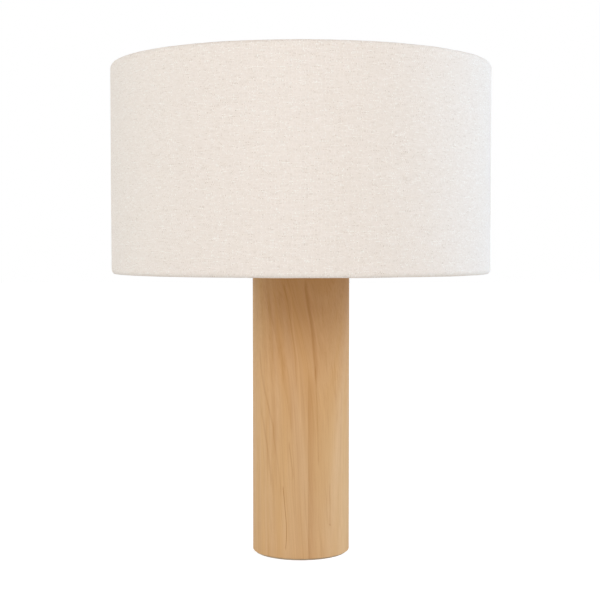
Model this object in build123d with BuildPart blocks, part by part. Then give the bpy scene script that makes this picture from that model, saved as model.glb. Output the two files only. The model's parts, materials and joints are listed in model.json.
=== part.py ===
from build123d import *
from math import asin, cos, pi, radians, sin, sqrt
import os

# A table lamp: a turned wooden column, a drum shade of fabric over a stiff liner on two wire
# rings, and a screw lampholder with a turn switch and a bulb. The origin is at the centre of
# the foot, the front looks along -Y and the flex enters at the rear, along +Y.

os.makedirs("parts", exist_ok=True)

# ------------------------------------------------------------------ driving sizes, mm
overall_height = 450.0
shade_diameter = 350.0
shade_height = 190.0
column_diameter = 90.0
column_rise = 2.0  # the column's top stands this far above the shade's lower edge

fit_gap = 0.1  # between glued, pressed or clamped pieces
shaft_gap = 0.08  # a shaft that turns in its hole
seat_gap = 0.3  # clearance between pieces that turn or lift past each other

# the foot
felt_thickness = 1.5
felt_inset = 2.0
column_chamfer = 1.0  # round the foot and round the top
cover_thickness = 3.0
cover_rim = 4.0  # wood left standing outside the cover
cavity_wall = 15.0  # wood round the hollow that holds the weight
cavity_depth = 42.5
weight_thickness = 18.0
weight_gap = 0.5

# the cover's screws
cover_screw_count = 3
cover_screw_inset = 4.7  # from the cover's edge to a screw's axis
cover_screw_radius = 1.5
cover_screw_head = 3.2
cover_screw_length = 14.0

# the flex inlet at the rear
inlet_height = 14.0
bush_bore = 3.5
bush_wall = 2.0
bush_flange_width = 2.5
bush_flange_thickness = 2.0
bush_chamfer = 0.8
spot_face_depth = 2.2

# the threaded tube that clamps everything together, and its nuts and washers
tube_radius = 5.0
tube_bore = 3.9
tube_proud = 3.4  # thread showing below the lower nut
bore_gap = 0.4  # the column's long bore round the tube
nut_wall = 2.0  # of a nut, at its flats
nut_chamfer = 0.8
bottom_nut_thickness = 5.0
top_nut_thickness = 4.0
bottom_washer_radius = 12.0
bottom_washer_thickness = 1.6
top_washer_radius = 18.0
top_washer_thickness = 1.5
top_washer_chamfer = 0.8
lock_washer_rim = 2.0  # outside the teeth
lock_washer_thickness = 0.8
lock_tooth_count = 10
lock_tooth_length = 1.9
lock_tooth_width = 1.4

# the lampholder's cap
cap_wall = 2.2
cap_wall_height = 14.0
cap_shoulder = 11.0  # height of the conical shoulder
neck_wall = 2.5
neck_height = 8.7
cap_ledge_width = 2.9  # of the ledge that carries the core
cap_floor = 1.0  # from the neck's top to the hollow below the ledge
flute_count = 8
flute_radius = 3.0
flute_depth = 0.6
flute_margin = 2.0
grub_radius = 1.5
grub_slot = 0.5

# the core, the screw shell and the centre contact
core_wall = 1.2  # round the screw shell
core_floor_height = 17.0  # from the ledge to the floor of the core's cup
pocket_depth = 4.0
pocket_width = 7.0
pocket_height = 6.0
terminal_height = 4.5  # of a terminal screw above the ledge
terminal_head = 1.9
terminal_head_thickness = 1.4
terminal_shank = 1.2
terminal_shank_length = 3.0
shell_wall = 0.5
shell_thread_gap = 0.5  # room for the bulb cap's thread
shell_lip = 4.0
shell_below_core = 1.2
contact_strip = 0.4
contact_width = 5.0
contact_end_gap = 1.4  # from the shell's lip to the strip's fixed end
contact_rivet_inset = 2.2
contact_rivet = 1.4
contact_rivet_height = 0.5
contact_rise = (4.0, 2.0)  # where the strip leaves the floor and where it levels out
contact_nose = 2.5
contact_tip = 3.5

# the skirt that screws into the cap and holds the shade
skirt_gap = 1.6  # round the core
skirt_wall = 2.8
skirt_height = 24.0
skirt_spigot = 5.0
skirt_spigot_wall = 2.0
skirt_flange_width = 3.7
skirt_flange_thickness = 2.5
skirt_lip = 2.0
skirt_lip_overhang = 0.4  # past the core's rim

# the turn switch
switch_above_ledge = 5.0
shaft_radius = 2.0
shaft_inner_end = 8.0
shaft_flat_depth = 0.7
switch_hole_gap = 0.6
knob_gap = 1.5
knob_length = 15.5
knob_back_radius = 6.5
knob_taper = 0.4
knob_end_wall = 3.0  # ahead of the shaft's end
knob_chamfer = 0.8
knob_flute_count = 10
knob_flute_radius = 0.9
knob_flute_depth = 0.6

# the ring nut that holds the shade down
ring_bore_gap = 0.3
ring_flange_width = 5.4
ring_flange_thickness = 2.0
ring_collar_wall = 2.9
ring_height = 8.7
ring_scallop_count = 12
ring_scallop_radius = 2.5
ring_scallop_depth = 1.0

# the shade
fabric_thickness = 0.8
glue_gap = 0.1
liner_thickness = 0.6
liner_lap = 12.0
seam_width = 10.0
seam_thickness = 0.4
ring_wire = 1.5
ring_wire_sides = 8
hem_chamfer = 0.9
lap_gap = 2.1  # from a wire ring to the end of the liner's lap
fitter_inner_gap = 0.8
fitter_width = 10.4
fitter_thickness = 1.2
arm_wire = 1.4
arm_level_run = 19.0  # from the fitter ring to the arm's bend
arm_bend_radius = 12.0
arm_slot_gap = 0.3
arm_above_wire = 0.6  # the arms meet the lower wire a little above its middle
arm_ring_gap = 0.8

# the bulb
bulb_length = 108.0
bulb_radius = 30.0
bulb_cap_radius = 13.0
bulb_cap_wall = 0.4
bulb_cap_rim = 26.5  # from the bulb's bottom to the cap's upper rim
bulb_globe_dip = 14.0  # from the globe's centre down to the housing's rim
bulb_housing_overhang = 1.0  # of the housing past the cap
bulb_wall = 1.2
bulb_contact_radius = 4.8
bulb_contact_height = 0.8
bulb_insulator_foot = 5.5
bulb_insulator_inset = 1.0
bulb_insulator_height = 4.4
bulb_lift_off = 3.0  # from the core's floor to the bulb's bottom
led_plate_thickness = 1.6
led_plate_inset = 0.2
globe_steps = 5  # flats that stand for the globe's round
globe_inner_steps = 4
flare_steps = 3
flare_inner_steps = 2
flare_power = 1.6  # how late the housing's flare widens

# ------------------------------------------------------------------ heights and radii that follow
column_radius = column_diameter / 2
shade_radius = shade_diameter / 2
shade_bottom = overall_height - shade_height
column_top = shade_bottom + column_rise

cover_radius = column_radius - cover_rim - seat_gap
cover_top = felt_thickness + cover_thickness
cover_screw_circle = cover_radius - cover_screw_inset
cover_screw_head_height = cover_screw_head - cover_screw_radius
cavity_radius = column_radius - cavity_wall
cavity_top = felt_thickness + cavity_depth
weight_bottom = cavity_top - weight_thickness
bottom_washer_bottom = weight_bottom - bottom_washer_thickness
bottom_nut_bottom = bottom_washer_bottom - bottom_nut_thickness
tube_bottom = bottom_nut_bottom - tube_proud
inlet_seat = column_radius - spot_face_depth
bush_radius = bush_bore + bush_wall
bush_flange = bush_radius + bush_flange_width
nut_flats = 2 * (tube_radius + nut_wall)

tooth_root = tube_radius + fit_gap + lock_tooth_length
lock_washer_radius = tooth_root + lock_washer_rim
lock_washer_bottom = column_top + top_washer_thickness
top_nut_bottom = lock_washer_bottom + lock_washer_thickness
cap_bottom = top_nut_bottom + top_nut_thickness
neck_top = cap_bottom + neck_height
tube_top = neck_top
neck_bore = tube_radius + fit_gap / 2
neck_radius = tube_radius + neck_wall
ledge_height = neck_top + cap_shoulder
cap_top = ledge_height + cap_wall_height
switch_height = ledge_height + switch_above_ledge
terminal_z = ledge_height + terminal_height

# each round piece of the lampholder takes its size from the one inside it
shell_inner = bulb_cap_radius + shell_thread_gap
shell_radius = shell_inner + shell_wall
core_cup = shell_radius + 2 * fit_gap
core_radius = core_cup + core_wall
pocket_face = core_radius - pocket_depth
spigot_inner = core_radius + seat_gap
spigot_outer = spigot_inner + skirt_spigot_wall
cap_inner = spigot_outer + fit_gap
cap_radius = cap_inner + cap_wall
cap_ledge = core_radius - cap_ledge_width
skirt_inner = core_radius + skirt_gap
skirt_radius = skirt_inner + skirt_wall
skirt_flange = skirt_radius + skirt_flange_width
skirt_mouth = core_radius - skirt_lip_overhang
skirt_top = cap_top + skirt_height
core_top = skirt_top - skirt_lip - seat_gap
core_floor = ledge_height + core_floor_height
shell_top = core_top - shell_below_core
switch_hole = shaft_radius + switch_hole_gap
shaft_flat = shaft_radius - shaft_flat_depth
knob_back = cap_radius + knob_gap
knob_front = knob_back + knob_length
knob_front_radius = knob_back_radius - knob_taper
shaft_outer_end = knob_front - knob_end_wall

fitter_bottom = cap_top + skirt_flange_thickness + seat_gap
fitter_top = fitter_bottom + fitter_thickness
fitter_inner = skirt_radius + fitter_inner_gap
fitter_outer = fitter_inner + fitter_width
ring_bottom = fitter_top + seat_gap
ring_bore = skirt_radius + ring_bore_gap
ring_flange = ring_bore + ring_flange_width
ring_collar = ring_bore + ring_collar_wall
arm_start = ring_flange + arm_ring_gap
arm_bend = fitter_outer + arm_level_run
arm_height = fitter_top + arm_wire

liner_outer = shade_radius - fabric_thickness - glue_gap
liner_inner = liner_outer - liner_thickness
wire_radius = liner_inner - glue_gap - ring_wire
wire_inset = fabric_thickness + glue_gap + ring_wire
wire_bottom = shade_bottom + wire_inset
wire_top = overall_height - wire_inset
hem_end = wire_inset + ring_wire  # how far an edge is turned in, past its wire
hem_inside = wire_radius - ring_wire - glue_gap - fabric_thickness
arm_end = wire_radius - ring_wire - glue_gap
arm_end_height = wire_bottom + arm_above_wire

bulb_bottom = core_floor + bulb_lift_off
contact_top = bulb_bottom - seat_gap
globe_centre = bulb_bottom + bulb_length - bulb_radius
housing_top = globe_centre - bulb_globe_dip
housing_radius = sqrt(bulb_radius**2 - bulb_globe_dip**2)

underside = Plane(origin=(0, 0, felt_thickness), x_dir=(1, 0, 0), z_dir=(0, 0, -1))
rebate_face = Plane(origin=(0, 0, cover_top), x_dir=(1, 0, 0), z_dir=(0, 0, -1))
inlet_plane = Plane(origin=(0, inlet_seat, inlet_height), x_dir=(-1, 0, 0), z_dir=(0, 1, 0))
inlet_section = Plane(origin=(0, 0, inlet_height), x_dir=(0, 1, 0), z_dir=(1, 0, 0))
inlet_axis = Axis((0, 0, inlet_height), (0, 1, 0))
switch_section = Plane(origin=(0, 0, switch_height), x_dir=(0, -1, 0), z_dir=(-1, 0, 0))
switch_axis = Axis((0, 0, switch_height), (0, -1, 0))


def switch_plane(distance):
    """The plane square to the switch's shaft, this far in front of the lamp's axis."""
    return Plane(origin=(0, -distance, switch_height), x_dir=(1, 0, 0), z_dir=(0, -1, 0))


# ------------------------------------------------------------------ the foot
with BuildPart() as felt_pad:
    with BuildSketch():
        Circle(column_radius - felt_inset)
    extrude(amount=felt_thickness)
felt_pad.part.label = "felt_pad"
export_step(felt_pad.part, "parts/felt_pad.step")

with BuildPart() as base_cover:
    with BuildSketch(Plane.XY.offset(felt_thickness)):
        Circle(cover_radius)
    extrude(amount=cover_thickness)
    with Locations(underside):
        with PolarLocations(cover_screw_circle, cover_screw_count, start_angle=90):
            CounterSinkHole(
                cover_screw_radius + fit_gap,
                cover_screw_head + fit_gap,
                cover_thickness,
                counter_sink_angle=90,
            )
base_cover.part.label = "base_cover"
export_step(base_cover.part, "parts/base_cover.step")

with BuildPart() as cover_screws:
    with Locations(underside):
        with PolarLocations(cover_screw_circle, cover_screw_count, start_angle=90):
            Cone(
                cover_screw_radius,
                cover_screw_head,
                cover_screw_head_height,
                align=(Align.CENTER, Align.CENTER, Align.MAX),
            )
            with Locations((0, 0, -cover_screw_head_height)):
                Cylinder(
                    cover_screw_radius,
                    cover_screw_length - cover_screw_head_height,
                    align=(Align.CENTER, Align.CENTER, Align.MAX),
                )
cover_screws.part.label = "cover_screws"
export_step(cover_screws.part, "parts/cover_screws.step")

with BuildPart() as column:
    with BuildSketch(Plane.XY.offset(felt_thickness)):
        Circle(column_radius)
    extrude(amount=column_top - felt_thickness)
    chamfer(column.edges().group_by(Axis.Z)[0], column_chamfer)
    chamfer(column.edges().group_by(Axis.Z)[-1], column_chamfer)
    with BuildSketch(Plane.XY.offset(felt_thickness)):
        Circle(cover_radius + seat_gap)
    extrude(amount=cover_thickness, mode=Mode.SUBTRACT)
    with BuildSketch(Plane.XY.offset(cover_top)):
        Circle(cavity_radius)
    extrude(amount=cavity_top - cover_top, mode=Mode.SUBTRACT)
    with BuildSketch(Plane.XY.offset(cavity_top)):
        Circle(tube_radius + bore_gap)
    extrude(amount=column_top - cavity_top, mode=Mode.SUBTRACT)
    # the flex's way in, with a flat spot face for the bush's flange
    with BuildSketch(inlet_plane):
        Circle(bush_radius + fit_gap)
    extrude(amount=-(inlet_seat - cavity_radius / 2), mode=Mode.SUBTRACT)
    with BuildSketch(inlet_plane):
        Circle(bush_flange + 2 * fit_gap)
    extrude(amount=2 * spot_face_depth, mode=Mode.SUBTRACT)
    with Locations(rebate_face):
        with PolarLocations(cover_screw_circle, cover_screw_count, start_angle=90):
            Hole(cover_screw_radius + fit_gap / 2, cover_screw_length - cover_thickness + fit_gap)
column.part.label = "column"
export_step(column.part, "parts/column.step")

with BuildPart() as base_weight:
    with BuildSketch(Plane.XY.offset(weight_bottom)):
        Circle(cavity_radius - weight_gap)
        Circle(tube_radius + bore_gap, mode=Mode.SUBTRACT)
    extrude(amount=weight_thickness)
base_weight.part.label = "base_weight"
export_step(base_weight.part, "parts/base_weight.step")

with BuildPart() as cord_bush:
    with BuildSketch(inlet_section):
        with BuildLine():
            Polyline(
                (cavity_radius, bush_bore),
                (cavity_radius, bush_radius),
                (inlet_seat, bush_radius),
                (inlet_seat, bush_flange),
                (inlet_seat + bush_flange_thickness, bush_flange),
                (inlet_seat + bush_flange_thickness, bush_bore),
                close=True,
            )
        make_face()
    revolve(axis=inlet_axis)
    chamfer(cord_bush.edges().group_by(Axis.Y)[-1], bush_chamfer)
cord_bush.part.label = "cord_bush"
export_step(cord_bush.part, "parts/cord_bush.step")

# ------------------------------------------------------------------ the tube, its nuts and washers
with BuildPart() as threaded_tube:
    with BuildSketch(Plane.XY.offset(tube_bottom)):
        Circle(tube_radius)
        Circle(tube_bore, mode=Mode.SUBTRACT)
    extrude(amount=tube_top - tube_bottom)
threaded_tube.part.label = "threaded_tube"
export_step(threaded_tube.part, "parts/threaded_tube.step")

with BuildPart() as bottom_washer:
    with BuildSketch(Plane.XY.offset(bottom_washer_bottom)):
        Circle(bottom_washer_radius)
        Circle(tube_radius + fit_gap, mode=Mode.SUBTRACT)
    extrude(amount=bottom_washer_thickness)
bottom_washer.part.label = "bottom_washer"
export_step(bottom_washer.part, "parts/bottom_washer.step")

nuts = {
    "bottom_nut": (bottom_nut_bottom, bottom_nut_thickness),
    "top_nut": (top_nut_bottom, top_nut_thickness),
}
for nut_name, (nut_bottom, nut_thickness) in nuts.items():
    corner = nut_flats / sqrt(3)
    nut_top = nut_bottom + nut_thickness
    with BuildPart() as nut:
        with BuildSketch(Plane.XY.offset(nut_bottom)):
            RegularPolygon(nut_flats / 2, 6, major_radius=False)
            Circle(tube_radius + fit_gap / 2, mode=Mode.SUBTRACT)
        extrude(amount=nut_thickness)
        # turned down at its top, which takes the points off the six corners
        with BuildSketch(Plane.XZ):
            with BuildLine():
                Polyline(
                    (0, nut_bottom),
                    (corner, nut_bottom),
                    (corner, nut_top - nut_chamfer),
                    (nut_flats / 2, nut_top),
                    (0, nut_top),
                    close=True,
                )
            make_face()
        revolve(axis=Axis.Z, mode=Mode.INTERSECT)
    nut.part.label = nut_name
    export_step(nut.part, f"parts/{nut_name}.step")

with BuildPart() as top_washer:
    with BuildSketch(Plane.XY.offset(column_top)):
        Circle(top_washer_radius)
        Circle(tube_radius + fit_gap, mode=Mode.SUBTRACT)
    extrude(amount=top_washer_thickness)
    chamfer(top_washer.faces().sort_by(Axis.Z)[-1].outer_wire().edges(), top_washer_chamfer)
top_washer.part.label = "top_washer"
export_step(top_washer.part, "parts/top_washer.step")

with BuildPart() as lock_washer:
    with BuildSketch(Plane.XY.offset(lock_washer_bottom)):
        Circle(lock_washer_radius)
        Circle(tooth_root, mode=Mode.SUBTRACT)
        with PolarLocations(tooth_root, lock_tooth_count):
            Rectangle(2 * lock_tooth_length, lock_tooth_width)
        Circle(tube_radius + fit_gap, mode=Mode.SUBTRACT)
    extrude(amount=lock_washer_thickness)
lock_washer.part.label = "lock_washer"
export_step(lock_washer.part, "parts/lock_washer.step")

# ------------------------------------------------------------------ the lampholder
with BuildPart() as holder_cap:
    with BuildSketch(Plane.XZ):
        with BuildLine():
            Polyline(
                (neck_bore, cap_bottom),
                (neck_radius, cap_bottom),
                (neck_radius, neck_top),
                (cap_radius - cap_wall, ledge_height - cap_wall),
                (cap_radius, ledge_height),
                (cap_radius, cap_top),
                (cap_inner, cap_top),
                (cap_inner, ledge_height),
                (cap_ledge, ledge_height),
                (neck_bore, neck_top + cap_floor),
                close=True,
            )
        make_face()
    revolve(axis=Axis.Z)
    # grip flutes round the wall, with the switch's hole between two of them
    with BuildSketch(Plane.XY.offset(ledge_height + flute_margin)):
        flute_circle = cap_radius + flute_radius - flute_depth
        with PolarLocations(flute_circle, flute_count, start_angle=180 / flute_count):
            Circle(flute_radius)
    extrude(amount=cap_wall_height - 2 * flute_margin, mode=Mode.SUBTRACT)
    with BuildSketch(switch_plane(0)):
        Circle(switch_hole)
    extrude(amount=2 * cap_radius, mode=Mode.SUBTRACT)
    with BuildSketch(Plane.XZ.offset(-neck_bore)):
        with Locations((0, cap_bottom + neck_height / 2)):
            Circle(grub_radius + fit_gap / 2)
    extrude(amount=-neck_radius, mode=Mode.SUBTRACT)
holder_cap.part.label = "holder_cap"
export_step(holder_cap.part, "parts/holder_cap.step")

with BuildPart() as neck_grub_screw:
    grub_face = Plane.XZ.offset(-neck_radius)
    with BuildSketch(grub_face):
        with Locations((0, cap_bottom + neck_height / 2)):
            Circle(grub_radius)
    extrude(amount=neck_radius - neck_bore)
    with BuildSketch(grub_face):
        with Locations((0, cap_bottom + neck_height / 2)):
            Rectangle(2 * grub_radius, grub_slot)
    extrude(amount=(neck_radius - neck_bore) / 2, mode=Mode.SUBTRACT)
neck_grub_screw.part.label = "neck_grub_screw"
export_step(neck_grub_screw.part, "parts/neck_grub_screw.step")

with BuildPart() as holder_core:
    with BuildSketch(Plane.XY.offset(ledge_height)):
        Circle(core_radius)
    extrude(amount=core_top - ledge_height)
    with BuildSketch(Plane.XY.offset(core_floor)):
        Circle(core_cup)
    extrude(amount=core_top - core_floor, mode=Mode.SUBTRACT)
    with BuildSketch(switch_plane(shaft_inner_end - seat_gap)):
        Circle(shaft_radius + shaft_gap)
    extrude(amount=core_radius, mode=Mode.SUBTRACT)
    # a pocket each side for a terminal, and the screw's hole behind it
    for side in (1, -1):
        with BuildSketch(Plane.YZ.offset(side * pocket_face)):
            with Locations((0, terminal_z)):
                Rectangle(pocket_width, pocket_height)
        extrude(amount=side * core_radius, mode=Mode.SUBTRACT)
        with BuildSketch(Plane.YZ.offset(side * pocket_face)):
            with Locations((0, terminal_z)):
                Circle(terminal_shank + fit_gap / 2)
        extrude(amount=-side * (terminal_shank_length + fit_gap), mode=Mode.SUBTRACT)
holder_core.part.label = "holder_core"
export_step(holder_core.part, "parts/holder_core.step")

with BuildPart() as terminal_screws:
    for side in (1, -1):
        with BuildSketch(Plane.YZ.offset(side * pocket_face)):
            with Locations((0, terminal_z)):
                Circle(terminal_head)
        extrude(amount=side * terminal_head_thickness)
        with BuildSketch(Plane.YZ.offset(side * pocket_face)):
            with Locations((0, terminal_z)):
                Circle(terminal_shank)
        extrude(amount=-side * terminal_shank_length)
terminal_screws.part.label = "terminal_screws"
export_step(terminal_screws.part, "parts/terminal_screws.step")

with BuildPart() as centre_contact:
    # a springy strip riveted to the floor, which rises to the bulb's centre contact
    fixed_end = shell_radius - shell_lip - contact_end_gap
    strip_low = core_floor + contact_strip / 2
    strip_high = contact_top - contact_strip / 2
    with BuildSketch(Plane.XZ):
        with BuildLine():
            FilletPolyline(
                (-fixed_end, strip_low),
                (-contact_rise[0], strip_low),
                (-contact_rise[1], strip_high),
                (contact_nose, strip_high),
                (contact_tip, (strip_low + strip_high) / 2),
                radius=2 * contact_strip,
            )
        trace(line_width=contact_strip)
    extrude(amount=contact_width / 2, both=True)
    with BuildSketch(Plane.XY.offset(core_floor + contact_strip)):
        with Locations((contact_rivet_inset - fixed_end, 0)):
            Circle(contact_rivet)
    extrude(amount=contact_rivet_height)
centre_contact.part.label = "centre_contact"
export_step(centre_contact.part, "parts/centre_contact.step")

with BuildPart() as screw_shell:
    with BuildSketch(Plane.XZ):
        with BuildLine():
            Polyline(
                (shell_radius - shell_lip, core_floor),
                (shell_radius, core_floor),
                (shell_radius, shell_top),
                (shell_inner, shell_top),
                (shell_inner, core_floor + shell_wall),
                (shell_radius - shell_lip, core_floor + shell_wall),
                close=True,
            )
        make_face()
    revolve(axis=Axis.Z)
screw_shell.part.label = "screw_shell"
export_step(screw_shell.part, "parts/screw_shell.step")

with BuildPart() as holder_skirt:
    flange_top = cap_top + skirt_flange_thickness
    with BuildSketch(Plane.XZ):
        with BuildLine():
            Polyline(
                (spigot_inner, cap_top - skirt_spigot),
                (spigot_outer, cap_top - skirt_spigot),
                (spigot_outer, cap_top),
                (skirt_flange, cap_top),
                (skirt_flange, flange_top),
                (skirt_radius, flange_top),
                (skirt_radius, skirt_top),
                (skirt_mouth, skirt_top),
                (skirt_mouth, skirt_top - skirt_lip),
                (skirt_inner, skirt_top - skirt_lip),
                (skirt_inner, flange_top),
                (spigot_inner, flange_top),
                close=True,
            )
        make_face()
    revolve(axis=Axis.Z)
holder_skirt.part.label = "holder_skirt"
export_step(holder_skirt.part, "parts/holder_skirt.step")

# ------------------------------------------------------------------ the turn switch
with BuildPart() as switch_shaft:
    with BuildSketch(switch_plane(shaft_inner_end)):
        Circle(shaft_radius)
    extrude(amount=shaft_outer_end - shaft_inner_end)
    # a flat along the outer end, which the knob's bore matches
    with BuildSketch(switch_plane(knob_back)):
        with Locations((0, shaft_flat + shaft_radius)):
            Rectangle(3 * shaft_radius, 2 * shaft_radius)
    extrude(amount=shaft_outer_end - knob_back, mode=Mode.SUBTRACT)
switch_shaft.part.label = "switch_shaft"
export_step(switch_shaft.part, "parts/switch_shaft.step")

with BuildPart() as switch_knob:
    with BuildSketch(switch_section):
        with BuildLine():
            Polyline(
                (knob_back, 0),
                (knob_back, knob_back_radius),
                (knob_front, knob_front_radius),
                (knob_front, 0),
                close=True,
            )
        make_face()
    revolve(axis=switch_axis)
    chamfer(switch_knob.edges().group_by(Axis.Y)[0], knob_chamfer)
    with BuildSketch(switch_plane(knob_back)):
        knob_flute_circle = knob_front_radius + knob_flute_radius - knob_flute_depth
        with PolarLocations(knob_flute_circle, knob_flute_count):
            Circle(knob_flute_radius)
    extrude(amount=knob_length - 2 * knob_chamfer, mode=Mode.SUBTRACT)
    with BuildSketch(switch_plane(knob_back)):
        Circle(shaft_radius + fit_gap / 2)
        with Locations((0, shaft_flat + fit_gap / 2 + shaft_radius)):
            Rectangle(3 * shaft_radius, 2 * shaft_radius, mode=Mode.SUBTRACT)
    extrude(amount=shaft_outer_end - knob_back + fit_gap, mode=Mode.SUBTRACT)
switch_knob.part.label = "switch_knob"
export_step(switch_knob.part, "parts/switch_knob.step")

# ------------------------------------------------------------------ the ring nut
with BuildPart() as shade_ring:
    with BuildSketch(Plane.XY.offset(ring_bottom)):
        Circle(ring_flange)
        scallop_circle = ring_flange + ring_scallop_radius - ring_scallop_depth
        with PolarLocations(scallop_circle, ring_scallop_count):
            Circle(ring_scallop_radius, mode=Mode.SUBTRACT)
        Circle(ring_bore, mode=Mode.SUBTRACT)
    extrude(amount=ring_flange_thickness)
    with BuildSketch(Plane.XY.offset(ring_bottom + ring_flange_thickness)):
        Circle(ring_collar)
        Circle(ring_bore, mode=Mode.SUBTRACT)
    extrude(amount=ring_height - ring_flange_thickness)
shade_ring.part.label = "shade_ring"
export_step(shade_ring.part, "parts/shade_ring.step")

# ------------------------------------------------------------------ the shade
with BuildPart() as fitter_ring:
    with BuildSketch(Plane.XY.offset(fitter_bottom)):
        Circle(fitter_outer)
        Circle(fitter_inner, mode=Mode.SUBTRACT)
    extrude(amount=fitter_thickness)
fitter_ring.part.label = "fitter_ring"
export_step(fitter_ring.part, "parts/fitter_ring.step")

for wire_name, wire_z in {"bottom_ring_wire": wire_bottom, "top_ring_wire": wire_top}.items():
    with BuildPart() as ring:
        with BuildSketch(Plane.XZ):
            with Locations((wire_radius, wire_z)):
                RegularPolygon(ring_wire, ring_wire_sides)
        revolve(axis=Axis.Z)
    ring.part.label = wire_name
    export_step(ring.part, f"parts/{wire_name}.step")

arm_angles = {"shade_arm_rear": 90, "shade_arm_left": 210, "shade_arm_right": 330}


def arm_path(angle, extra):
    """An arm's centreline: level over the fitter ring, then down to the lower wire, and this
    much further out along the same slope."""
    out = (cos(radians(angle)), sin(radians(angle)), 0)
    upright = Plane(origin=(0, 0, 0), x_dir=out, z_dir=(out[1], -out[0], 0))
    fall = (arm_end_height - arm_height) / (arm_end - arm_bend)
    with BuildLine(upright) as path:
        FilletPolyline(
            (arm_start, arm_height),
            (arm_bend, arm_height),
            (arm_end + extra, arm_end_height + fall * extra),
            radius=arm_bend_radius,
        )
    return path.wires()[0]


for arm_name, arm_angle in arm_angles.items():
    centreline = arm_path(arm_angle, 0)
    with BuildPart() as arm:
        with BuildSketch(Plane(origin=centreline @ 0, z_dir=centreline % 0)):
            Circle(arm_wire)
        sweep(path=centreline)
    arm.part.label = arm_name
    export_step(arm.part, f"parts/{arm_name}.step")

with BuildPart() as shade_liner:
    liner_inset = fabric_thickness + glue_gap
    with BuildSketch(Plane.XY.offset(shade_bottom + liner_inset)):
        Circle(liner_outer)
        Circle(liner_inner, mode=Mode.SUBTRACT)
    extrude(amount=shade_height - 2 * liner_inset)
    # the lap at the rear where the sheet's two ends are glued over each other
    lap_margin = hem_end + lap_gap
    with BuildSketch(Plane.XY.offset(shade_bottom + lap_margin)):
        Circle(liner_inner)
        Circle(liner_inner - liner_thickness, mode=Mode.SUBTRACT)
        with Locations((0, liner_inner)):
            Rectangle(liner_lap, liner_lap, mode=Mode.INTERSECT)
    extrude(amount=shade_height - 2 * lap_margin)
shade_liner.part.label = "shade_liner"
export_step(shade_liner.part, "parts/shade_liner.step")

with BuildPart() as shade_fabric:
    # one sheet whose two edges are turned in under and over the wire rings
    hem_floor = shade_bottom + fabric_thickness
    inside = shade_radius - fabric_thickness
    with BuildSketch(Plane.XZ):
        with BuildLine():
            Polyline(
                (shade_radius, shade_bottom + shade_height / 2),
                (shade_radius, shade_bottom + hem_chamfer),
                (shade_radius - hem_chamfer, shade_bottom),
                (hem_inside + hem_chamfer, shade_bottom),
                (hem_inside, shade_bottom + hem_chamfer),
                (hem_inside, shade_bottom + hem_end),
                (hem_inside + fabric_thickness, shade_bottom + hem_end),
                (hem_inside + fabric_thickness, hem_floor),
                (inside, hem_floor),
                (inside, shade_bottom + shade_height / 2),
                close=True,
            )
        make_face()
    revolve(axis=Axis.Z)
    mirror(about=Plane.XY.offset(shade_bottom + shade_height / 2))
    # the lapped seam down the rear
    seam_margin = shade_radius - hem_inside
    with BuildSketch(Plane.XY.offset(shade_bottom + seam_margin)):
        Circle(shade_radius + seam_thickness)
        Circle(shade_radius - fabric_thickness / 2, mode=Mode.SUBTRACT)
        with Locations((0, shade_radius)):
            Rectangle(seam_width, seam_width, mode=Mode.INTERSECT)
    extrude(amount=shade_height - 2 * seam_margin)
    # the hem is slit where the arms come through to the lower wire
    for arm_angle in arm_angles.values():
        centreline = arm_path(arm_angle, fabric_thickness)
        with BuildSketch(Plane(origin=centreline @ 0, z_dir=centreline % 0)):
            Circle(arm_wire + arm_slot_gap)
        sweep(path=centreline, mode=Mode.SUBTRACT)
shade_fabric.part.label = "shade_fabric"
export_step(shade_fabric.part, "parts/shade_fabric.step")

# ------------------------------------------------------------------ the bulb
with BuildPart() as bulb_contact:
    with BuildSketch(Plane.XY.offset(bulb_bottom)):
        Circle(bulb_contact_radius)
    extrude(amount=bulb_contact_height)
    chamfer(bulb_contact.edges().group_by(Axis.Z)[0], bulb_contact_height / 2)
bulb_contact.part.label = "bulb_contact"
export_step(bulb_contact.part, "parts/bulb_contact.step")

insulator_bottom = bulb_bottom + bulb_contact_height
insulator_top = insulator_bottom + bulb_insulator_height
cap_inside = bulb_cap_radius - bulb_cap_wall
insulator_radius = cap_inside - bulb_insulator_inset
cap_rim = bulb_bottom + bulb_cap_rim

with BuildPart() as bulb_insulator:
    with BuildSketch(Plane.XZ):
        with BuildLine():
            Polyline(
                (0, insulator_bottom),
                (bulb_insulator_foot, insulator_bottom),
                (insulator_radius, insulator_top - bulb_insulator_inset),
                (insulator_radius, insulator_top),
                (0, insulator_top),
                close=True,
            )
        make_face()
    revolve(axis=Axis.Z)
bulb_insulator.part.label = "bulb_insulator"
export_step(bulb_insulator.part, "parts/bulb_insulator.step")

with BuildPart() as bulb_cap:
    mouth = insulator_radius + fit_gap
    with BuildSketch(Plane.XZ):
        with BuildLine():
            Polyline(
                (mouth, insulator_top - bulb_insulator_inset),
                (bulb_cap_radius, insulator_top + bulb_cap_wall),
                (bulb_cap_radius, cap_rim),
                (cap_inside, cap_rim),
                (cap_inside, insulator_top + 2 * bulb_cap_wall),
                (mouth, insulator_top),
                close=True,
            )
        make_face()
    revolve(axis=Axis.Z)
bulb_cap.part.label = "bulb_cap"
export_step(bulb_cap.part, "parts/bulb_cap.step")


def globe_outline(radius, steps):
    """Points of the globe's round outline, from the housing's rim to the top."""
    dip = asin((globe_centre - housing_top) / radius)
    turns = [-dip + (pi / 2 + dip) * step / steps for step in range(steps + 1)]
    return [(radius * cos(turn), globe_centre + radius * sin(turn)) for turn in turns]


def flare_outline(foot, rim, steps):
    """Points of the housing's flare, which leaves the foot upright and widens to the rim."""
    rise = housing_top - flare_bottom
    shares = [step / steps for step in range(steps + 1)]
    return [(foot + (rim - foot) * share**flare_power, flare_bottom + rise * share) for share in shares]


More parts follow.
